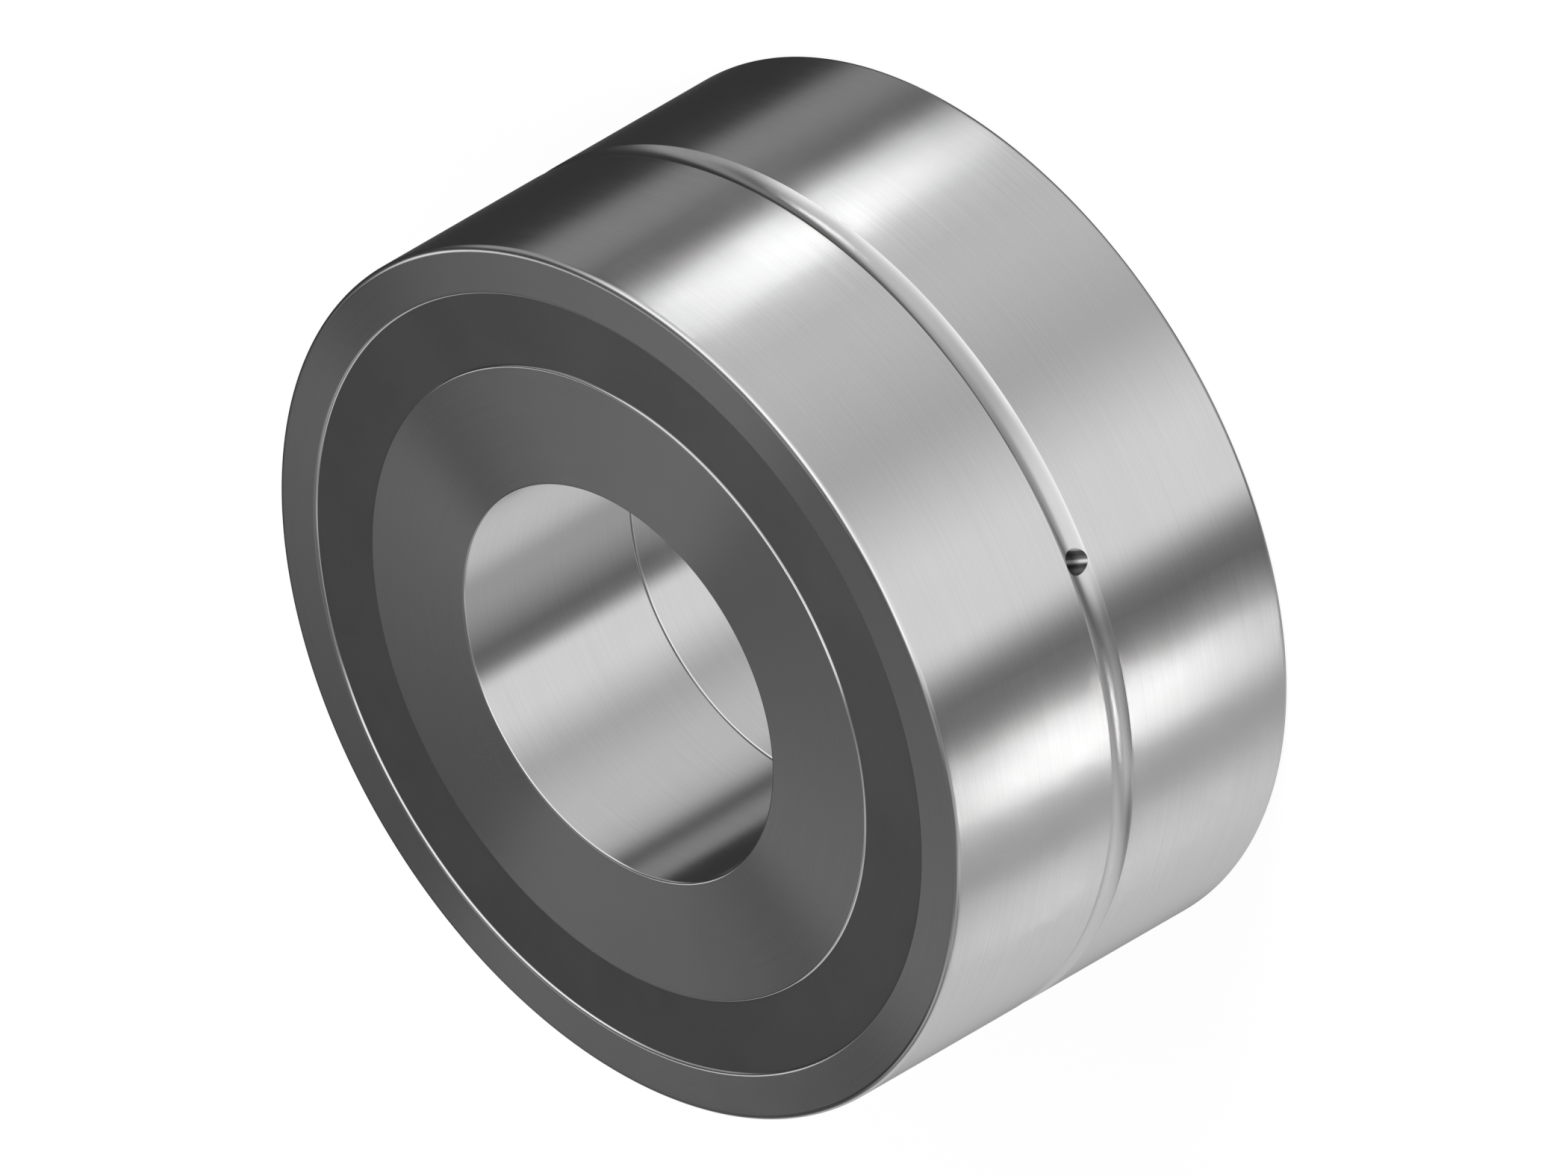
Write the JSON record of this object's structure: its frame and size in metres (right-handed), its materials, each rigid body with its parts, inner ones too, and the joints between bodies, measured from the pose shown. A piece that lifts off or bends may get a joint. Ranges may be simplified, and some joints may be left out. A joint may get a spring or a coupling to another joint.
{
  "type": "angular contact thrust ball bearing",
  "caption": "Sealed double direction angular contact thrust ball bearing with a grooved outer ring, a split inner ring and caged balls inside.",
  "frame": {"origin": "centre of the rear face, on the bearing's axis", "axes": "+Z along the bearing's axis from the rear face to the front face, +X opposite one of the grease holes"},
  "size_m": [0.11, 0.11, 0.054],
  "materials": {
    "ring_steel": "ground and turned",
    "ball_steel": "polished",
    "stiffener_steel": "cold rolled",
    "seal_rubber": "satin moulded",
    "cage_polyamide": "moulded"
  },
  "bodies": {
    "outer_body": {"outer_ring": "ring_steel", "seal_front": "seal_rubber", "seal_rear": "seal_rubber", "seal_stiffener_front": "stiffener_steel", "seal_stiffener_rear": "stiffener_steel"},
    "inner_body": {"inner_ring_front": "ring_steel", "inner_ring_rear": "ring_steel"},
    "cage_front": {"cage_front": "cage_polyamide"},
    "cage_rear": {"cage_rear": "cage_polyamide"},
    "ball_front_01": {"ball_front_01": "ball_steel"},
    "ball_front_02": {"ball_front_02": "ball_steel"},
    "ball_front_03": {"ball_front_03": "ball_steel"},
    "ball_front_04": {"ball_front_04": "ball_steel"},
    "ball_front_05": {"ball_front_05": "ball_steel"},
    "ball_front_06": {"ball_front_06": "ball_steel"},
    "ball_front_07": {"ball_front_07": "ball_steel"},
    "ball_front_08": {"ball_front_08": "ball_steel"},
    "ball_front_09": {"ball_front_09": "ball_steel"},
    "ball_front_10": {"ball_front_10": "ball_steel"},
    "ball_front_11": {"ball_front_11": "ball_steel"},
    "ball_front_12": {"ball_front_12": "ball_steel"},
    "ball_front_13": {"ball_front_13": "ball_steel"},
    "ball_front_14": {"ball_front_14": "ball_steel"},
    "ball_front_15": {"ball_front_15": "ball_steel"},
    "ball_front_16": {"ball_front_16": "ball_steel"},
    "ball_front_17": {"ball_front_17": "ball_steel"},
    "ball_front_18": {"ball_front_18": "ball_steel"},
    "ball_rear_01": {"ball_rear_01": "ball_steel"},
    "ball_rear_02": {"ball_rear_02": "ball_steel"},
    "ball_rear_03": {"ball_rear_03": "ball_steel"},
    "ball_rear_04": {"ball_rear_04": "ball_steel"},
    "ball_rear_05": {"ball_rear_05": "ball_steel"},
    "ball_rear_06": {"ball_rear_06": "ball_steel"},
    "ball_rear_07": {"ball_rear_07": "ball_steel"},
    "ball_rear_08": {"ball_rear_08": "ball_steel"},
    "ball_rear_09": {"ball_rear_09": "ball_steel"},
    "ball_rear_10": {"ball_rear_10": "ball_steel"},
    "ball_rear_11": {"ball_rear_11": "ball_steel"},
    "ball_rear_12": {"ball_rear_12": "ball_steel"},
    "ball_rear_13": {"ball_rear_13": "ball_steel"},
    "ball_rear_14": {"ball_rear_14": "ball_steel"},
    "ball_rear_15": {"ball_rear_15": "ball_steel"},
    "ball_rear_16": {"ball_rear_16": "ball_steel"},
    "ball_rear_17": {"ball_rear_17": "ball_steel"},
    "ball_rear_18": {"ball_rear_18": "ball_steel"}
  },
  "joints": [
    {"name": "inner_ring_spin", "type": "hinge", "parent": "outer_body", "child": "inner_body", "pos_m": [0, 0, 0.027], "axis": [0, 0, 1], "continuous": true},
    {"name": "cage_front_spin", "type": "hinge", "parent": "outer_body", "child": "cage_front", "pos_m": [0, 0, 0.03789], "axis": [0, 0, 1], "continuous": true},
    {"name": "cage_rear_spin", "type": "hinge", "parent": "outer_body", "child": "cage_rear", "pos_m": [0, 0, 0.01611], "axis": [0, 0, 1], "continuous": true},
    {"name": "ball_front_01_spin", "type": "hinge", "parent": "cage_front", "child": "ball_front_01", "pos_m": [0.041, 0, 0.03789], "axis": [0.866, 0, 0.5], "continuous": true},
    {"name": "ball_front_02_spin", "type": "hinge", "parent": "cage_front", "child": "ball_front_02", "pos_m": [0.03853, 0.01402, 0.03789], "axis": [0.8138, 0.2962, 0.5], "continuous": true},
    {"name": "ball_front_03_spin", "type": "hinge", "parent": "cage_front", "child": "ball_front_03", "pos_m": [0.03141, 0.02635, 0.03789], "axis": [0.6634, 0.5567, 0.5], "continuous": true},
    {"name": "ball_front_04_spin", "type": "hinge", "parent": "cage_front", "child": "ball_front_04", "pos_m": [0.0205, 0.03551, 0.03789], "axis": [0.433, 0.75, 0.5], "continuous": true},
    {"name": "ball_front_05_spin", "type": "hinge", "parent": "cage_front", "child": "ball_front_05", "pos_m": [0.00712, 0.04038, 0.03789], "axis": [0.1504, 0.8529, 0.5], "continuous": true},
    {"name": "ball_front_06_spin", "type": "hinge", "parent": "cage_front", "child": "ball_front_06", "pos_m": [-0.00712, 0.04038, 0.03789], "axis": [-0.1504, 0.8529, 0.5], "continuous": true},
    {"name": "ball_front_07_spin", "type": "hinge", "parent": "cage_front", "child": "ball_front_07", "pos_m": [-0.0205, 0.03551, 0.03789], "axis": [-0.433, 0.75, 0.5], "continuous": true},
    {"name": "ball_front_08_spin", "type": "hinge", "parent": "cage_front", "child": "ball_front_08", "pos_m": [-0.03141, 0.02635, 0.03789], "axis": [-0.6634, 0.5567, 0.5], "continuous": true},
    {"name": "ball_front_09_spin", "type": "hinge", "parent": "cage_front", "child": "ball_front_09", "pos_m": [-0.03853, 0.01402, 0.03789], "axis": [-0.8138, 0.2962, 0.5], "continuous": true},
    {"name": "ball_front_10_spin", "type": "hinge", "parent": "cage_front", "child": "ball_front_10", "pos_m": [-0.041, 0, 0.03789], "axis": [-0.866, 0, 0.5], "continuous": true},
    {"name": "ball_front_11_spin", "type": "hinge", "parent": "cage_front", "child": "ball_front_11", "pos_m": [-0.03853, -0.01402, 0.03789], "axis": [-0.8138, -0.2962, 0.5], "continuous": true},
    {"name": "ball_front_12_spin", "type": "hinge", "parent": "cage_front", "child": "ball_front_12", "pos_m": [-0.03141, -0.02635, 0.03789], "axis": [-0.6634, -0.5567, 0.5], "continuous": true},
    {"name": "ball_front_13_spin", "type": "hinge", "parent": "cage_front", "child": "ball_front_13", "pos_m": [-0.0205, -0.03551, 0.03789], "axis": [-0.433, -0.75, 0.5], "continuous": true},
    {"name": "ball_front_14_spin", "type": "hinge", "parent": "cage_front", "child": "ball_front_14", "pos_m": [-0.00712, -0.04038, 0.03789], "axis": [-0.1504, -0.8529, 0.5], "continuous": true},
    {"name": "ball_front_15_spin", "type": "hinge", "parent": "cage_front", "child": "ball_front_15", "pos_m": [0.00712, -0.04038, 0.03789], "axis": [0.1504, -0.8529, 0.5], "continuous": true},
    {"name": "ball_front_16_spin", "type": "hinge", "parent": "cage_front", "child": "ball_front_16", "pos_m": [0.0205, -0.03551, 0.03789], "axis": [0.433, -0.75, 0.5], "continuous": true},
    {"name": "ball_front_17_spin", "type": "hinge", "parent": "cage_front", "child": "ball_front_17", "pos_m": [0.03141, -0.02635, 0.03789], "axis": [0.6634, -0.5567, 0.5], "continuous": true},
    {"name": "ball_front_18_spin", "type": "hinge", "parent": "cage_front", "child": "ball_front_18", "pos_m": [0.03853, -0.01402, 0.03789], "axis": [0.8138, -0.2962, 0.5], "continuous": true},
    {"name": "ball_rear_01_spin", "type": "hinge", "parent": "cage_rear", "child": "ball_rear_01", "pos_m": [0.041, 0, 0.01611], "axis": [0.866, 0, -0.5], "continuous": true},
    {"name": "ball_rear_02_spin", "type": "hinge", "parent": "cage_rear", "child": "ball_rear_02", "pos_m": [0.03853, 0.01402, 0.01611], "axis": [0.8138, 0.2962, -0.5], "continuous": true},
    {"name": "ball_rear_03_spin", "type": "hinge", "parent": "cage_rear", "child": "ball_rear_03", "pos_m": [0.03141, 0.02635, 0.01611], "axis": [0.6634, 0.5567, -0.5], "continuous": true},
    {"name": "ball_rear_04_spin", "type": "hinge", "parent": "cage_rear", "child": "ball_rear_04", "pos_m": [0.0205, 0.03551, 0.01611], "axis": [0.433, 0.75, -0.5], "continuous": true},
    {"name": "ball_rear_05_spin", "type": "hinge", "parent": "cage_rear", "child": "ball_rear_05", "pos_m": [0.00712, 0.04038, 0.01611], "axis": [0.1504, 0.8529, -0.5], "continuous": true},
    {"name": "ball_rear_06_spin", "type": "hinge", "parent": "cage_rear", "child": "ball_rear_06", "pos_m": [-0.00712, 0.04038, 0.01611], "axis": [-0.1504, 0.8529, -0.5], "continuous": true},
    {"name": "ball_rear_07_spin", "type": "hinge", "parent": "cage_rear", "child": "ball_rear_07", "pos_m": [-0.0205, 0.03551, 0.01611], "axis": [-0.433, 0.75, -0.5], "continuous": true},
    {"name": "ball_rear_08_spin", "type": "hinge", "parent": "cage_rear", "child": "ball_rear_08", "pos_m": [-0.03141, 0.02635, 0.01611], "axis": [-0.6634, 0.5567, -0.5], "continuous": true},
    {"name": "ball_rear_09_spin", "type": "hinge", "parent": "cage_rear", "child": "ball_rear_09", "pos_m": [-0.03853, 0.01402, 0.01611], "axis": [-0.8138, 0.2962, -0.5], "continuous": true},
    {"name": "ball_rear_10_spin", "type": "hinge", "parent": "cage_rear", "child": "ball_rear_10", "pos_m": [-0.041, 0, 0.01611], "axis": [-0.866, 0, -0.5], "continuous": true},
    {"name": "ball_rear_11_spin", "type": "hinge", "parent": "cage_rear", "child": "ball_rear_11", "pos_m": [-0.03853, -0.01402, 0.01611], "axis": [-0.8138, -0.2962, -0.5], "continuous": true},
    {"name": "ball_rear_12_spin", "type": "hinge", "parent": "cage_rear", "child": "ball_rear_12", "pos_m": [-0.03141, -0.02635, 0.01611], "axis": [-0.6634, -0.5567, -0.5], "continuous": true},
    {"name": "ball_rear_13_spin", "type": "hinge", "parent": "cage_rear", "child": "ball_rear_13", "pos_m": [-0.0205, -0.03551, 0.01611], "axis": [-0.433, -0.75, -0.5], "continuous": true},
    {"name": "ball_rear_14_spin", "type": "hinge", "parent": "cage_rear", "child": "ball_rear_14", "pos_m": [-0.00712, -0.04038, 0.01611], "axis": [-0.1504, -0.8529, -0.5], "continuous": true},
    {"name": "ball_rear_15_spin", "type": "hinge", "parent": "cage_rear", "child": "ball_rear_15", "pos_m": [0.00712, -0.04038, 0.01611], "axis": [0.1504, -0.8529, -0.5], "continuous": true},
    {"name": "ball_rear_16_spin", "type": "hinge", "parent": "cage_rear", "child": "ball_rear_16", "pos_m": [0.0205, -0.03551, 0.01611], "axis": [0.433, -0.75, -0.5], "continuous": true},
    {"name": "ball_rear_17_spin", "type": "hinge", "parent": "cage_rear", "child": "ball_rear_17", "pos_m": [0.03141, -0.02635, 0.01611], "axis": [0.6634, -0.5567, -0.5], "continuous": true},
    {"name": "ball_rear_18_spin", "type": "hinge", "parent": "cage_rear", "child": "ball_rear_18", "pos_m": [0.03853, -0.01402, 0.01611], "axis": [0.8138, -0.2962, -0.5], "continuous": true}
  ],
  "couplings": [
    {"joint": "cage_front_spin", "follows": "inner_ring_spin", "ratio": 0.4637},
    {"joint": "cage_rear_spin", "follows": "inner_ring_spin", "ratio": 0.4637},
    {"joint": "ball_front_01_spin", "follows": "inner_ring_spin", "ratio": -3.4255},
    {"joint": "ball_front_02_spin", "follows": "inner_ring_spin", "ratio": -3.4255},
    {"joint": "ball_front_03_spin", "follows": "inner_ring_spin", "ratio": -3.4255},
    {"joint": "ball_front_04_spin", "follows": "inner_ring_spin", "ratio": -3.4255},
    {"joint": "ball_front_05_spin", "follows": "inner_ring_spin", "ratio": -3.4255},
    {"joint": "ball_front_06_spin", "follows": "inner_ring_spin", "ratio": -3.4255},
    {"joint": "ball_front_07_spin", "follows": "inner_ring_spin", "ratio": -3.4255},
    {"joint": "ball_front_08_spin", "follows": "inner_ring_spin", "ratio": -3.4255},
    {"joint": "ball_front_09_spin", "follows": "inner_ring_spin", "ratio": -3.4255},
    {"joint": "ball_front_10_spin", "follows": "inner_ring_spin", "ratio": -3.4255},
    {"joint": "ball_front_11_spin", "follows": "inner_ring_spin", "ratio": -3.4255},
    {"joint": "ball_front_12_spin", "follows": "inner_ring_spin", "ratio": -3.4255},
    {"joint": "ball_front_13_spin", "follows": "inner_ring_spin", "ratio": -3.4255},
    {"joint": "ball_front_14_spin", "follows": "inner_ring_spin", "ratio": -3.4255},
    {"joint": "ball_front_15_spin", "follows": "inner_ring_spin", "ratio": -3.4255},
    {"joint": "ball_front_16_spin", "follows": "inner_ring_spin", "ratio": -3.4255},
    {"joint": "ball_front_17_spin", "follows": "inner_ring_spin", "ratio": -3.4255},
    {"joint": "ball_front_18_spin", "follows": "inner_ring_spin", "ratio": -3.4255},
    {"joint": "ball_rear_01_spin", "follows": "inner_ring_spin", "ratio": 3.4255},
    {"joint": "ball_rear_02_spin", "follows": "inner_ring_spin", "ratio": 3.4255},
    {"joint": "ball_rear_03_spin", "follows": "inner_ring_spin", "ratio": 3.4255},
    {"joint": "ball_rear_04_spin", "follows": "inner_ring_spin", "ratio": 3.4255},
    {"joint": "ball_rear_05_spin", "follows": "inner_ring_spin", "ratio": 3.4255},
    {"joint": "ball_rear_06_spin", "follows": "inner_ring_spin", "ratio": 3.4255},
    {"joint": "ball_rear_07_spin", "follows": "inner_ring_spin", "ratio": 3.4255},
    {"joint": "ball_rear_08_spin", "follows": "inner_ring_spin", "ratio": 3.4255},
    {"joint": "ball_rear_09_spin", "follows": "inner_ring_spin", "ratio": 3.4255},
    {"joint": "ball_rear_10_spin", "follows": "inner_ring_spin", "ratio": 3.4255},
    {"joint": "ball_rear_11_spin", "follows": "inner_ring_spin", "ratio": 3.4255},
    {"joint": "ball_rear_12_spin", "follows": "inner_ring_spin", "ratio": 3.4255},
    {"joint": "ball_rear_13_spin", "follows": "inner_ring_spin", "ratio": 3.4255},
    {"joint": "ball_rear_14_spin", "follows": "inner_ring_spin", "ratio": 3.4255},
    {"joint": "ball_rear_15_spin", "follows": "inner_ring_spin", "ratio": 3.4255},
    {"joint": "ball_rear_16_spin", "follows": "inner_ring_spin", "ratio": 3.4255},
    {"joint": "ball_rear_17_spin", "follows": "inner_ring_spin", "ratio": 3.4255},
    {"joint": "ball_rear_18_spin", "follows": "inner_ring_spin", "ratio": 3.4255}
  ]
}
